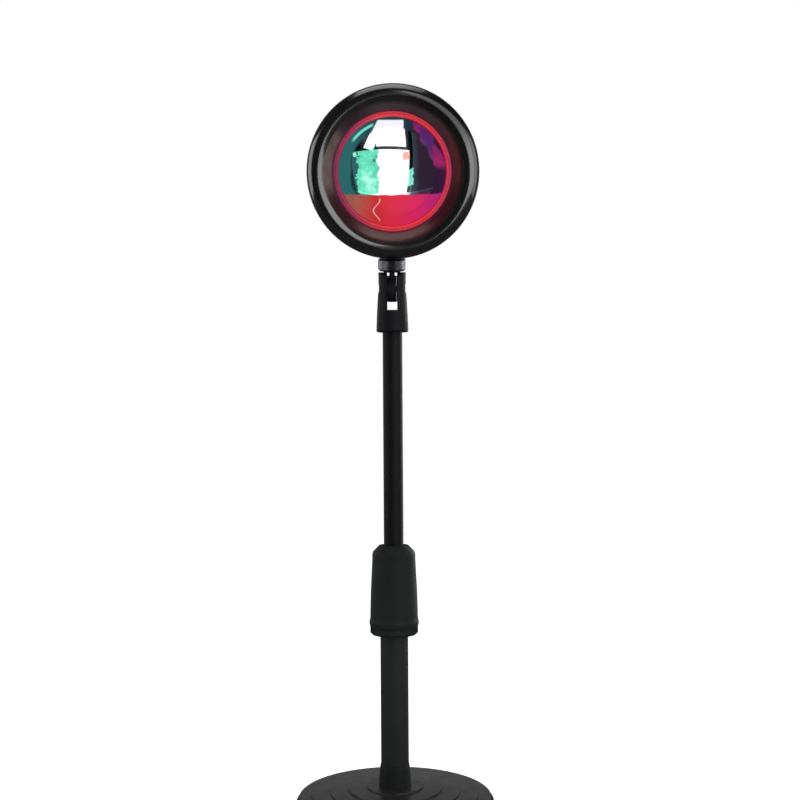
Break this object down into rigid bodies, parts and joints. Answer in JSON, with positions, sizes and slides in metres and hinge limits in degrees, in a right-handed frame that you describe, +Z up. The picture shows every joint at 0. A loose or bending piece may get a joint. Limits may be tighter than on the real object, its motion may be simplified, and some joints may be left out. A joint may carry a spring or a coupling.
{
  "type": "projection lamp",
  "caption": "Round projector head with a domed lens and gloss ring, on a forked tilt joint, telescopic pole with twist clutch and weighted round base.",
  "frame": {"origin": "centre of the base, on the table", "axes": "+Z up, the lamp looks along -Y, +X to the right of a viewer who faces the lens"},
  "size_m": [0.14, 0.14, 0.5081],
  "materials": {
    "rubber_black": "matte",
    "base_plastic": "matte",
    "cast_iron": "rough",
    "tube_black": "satin",
    "clutch_black": "matte",
    "white_nylon": "satin",
    "fork_black": "satin",
    "zinc_steel": "satin",
    "lock_grey": "knurled",
    "shell_black": "satin",
    "bezel_black": "gloss",
    "baffle_matte": "matte",
    "ring_red": "gloss",
    "lens_glass": "polished",
    "film_dichroic": "polished",
    "brass_insert": "machined",
    "sink_aluminium": "satin",
    "reflector_bright": "bright",
    "board_white": "satin",
    "board_green": "satin",
    "parts_dark": "matte",
    "chip_yellow": "satin",
    "thermal_grey": "matte",
    "lead_red": "satin"
  },
  "bodies": {
    "stand": {"anti_slip_pad": "rubber_black", "base_tray": "base_plastic", "base_weight": "cast_iron", "base_cover": "base_plastic", "base_screws": "zinc_steel", "foot_collar": "clutch_black", "foot_bolt": "zinc_steel", "foot_washer": "zinc_steel", "lower_tube": "tube_black", "tube_plug": "zinc_steel", "clutch_base": "clutch_black", "clutch_washer": "rubber_black", "collet": "white_nylon"},
    "grip": {"clutch_grip": "clutch_black"},
    "guide": {"mast_guide": "white_nylon"},
    "mast": {"upper_tube": "tube_black", "fork_body": "fork_black", "fork_set_screw": "zinc_steel", "hinge_screw": "zinc_steel", "hinge_nut": "zinc_steel", "hinge_washers": "white_nylon"},
    "tongue": {"tilt_tongue": "fork_black"},
    "lock": {"lock_ring": "lock_grey"},
    "head": {"head_shell": "shell_black", "stem_insert": "brass_insert", "front_bezel": "bezel_black", "baffle": "baffle_matte", "lens_ring": "ring_red", "lens": "lens_glass", "lens_seal": "rubber_black", "colour_film": "film_dichroic", "lens_holder": "parts_dark", "holder_screws": "zinc_steel", "reflector": "reflector_bright", "led_chip": "chip_yellow", "led_board": "board_white", "led_screws": "zinc_steel", "thermal_pad": "thermal_grey", "heat_sink": "sink_aluminium", "sink_screws": "zinc_steel", "driver_board": "board_green", "driver_parts": "parts_dark", "led_leads": "lead_red", "rear_cover": "shell_black", "rear_screws": "zinc_steel", "cable_gland": "parts_dark", "gland_nut": "parts_dark"}
  },
  "joints": [
    {"name": "grip_twist", "type": "hinge", "parent": "stand", "child": "grip", "pos_m": [0, 0, 0.16], "axis": [0, 0, 1], "range_deg": [0, 120]},
    {"name": "mast_slide", "type": "slide", "parent": "stand", "child": "guide", "axis": [0, 0, 1], "range_m": [-0.115, 0.006]},
    {"name": "mast_swivel", "type": "hinge", "parent": "guide", "child": "mast", "pos_m": [0, 0, 0.16], "axis": [0, 0, 1], "range_deg": [-180, 180]},
    {"name": "head_tilt", "type": "hinge", "parent": "mast", "child": "tongue", "pos_m": [0, 0, 0.3717], "axis": [1, 0, 0], "range_deg": [-102, 78]},
    {"name": "lock_ring_spin", "type": "hinge", "parent": "tongue", "child": "lock", "pos_m": [0, 0, 0.3717], "axis": [0, -0.2079, 0.9781], "range_deg": [-120, 0]},
    {"name": "head_pan", "type": "hinge", "parent": "tongue", "child": "head", "pos_m": [0, 0, 0.3717], "axis": [0, -0.2079, 0.9781], "range_deg": [-180, 180]}
  ]
}
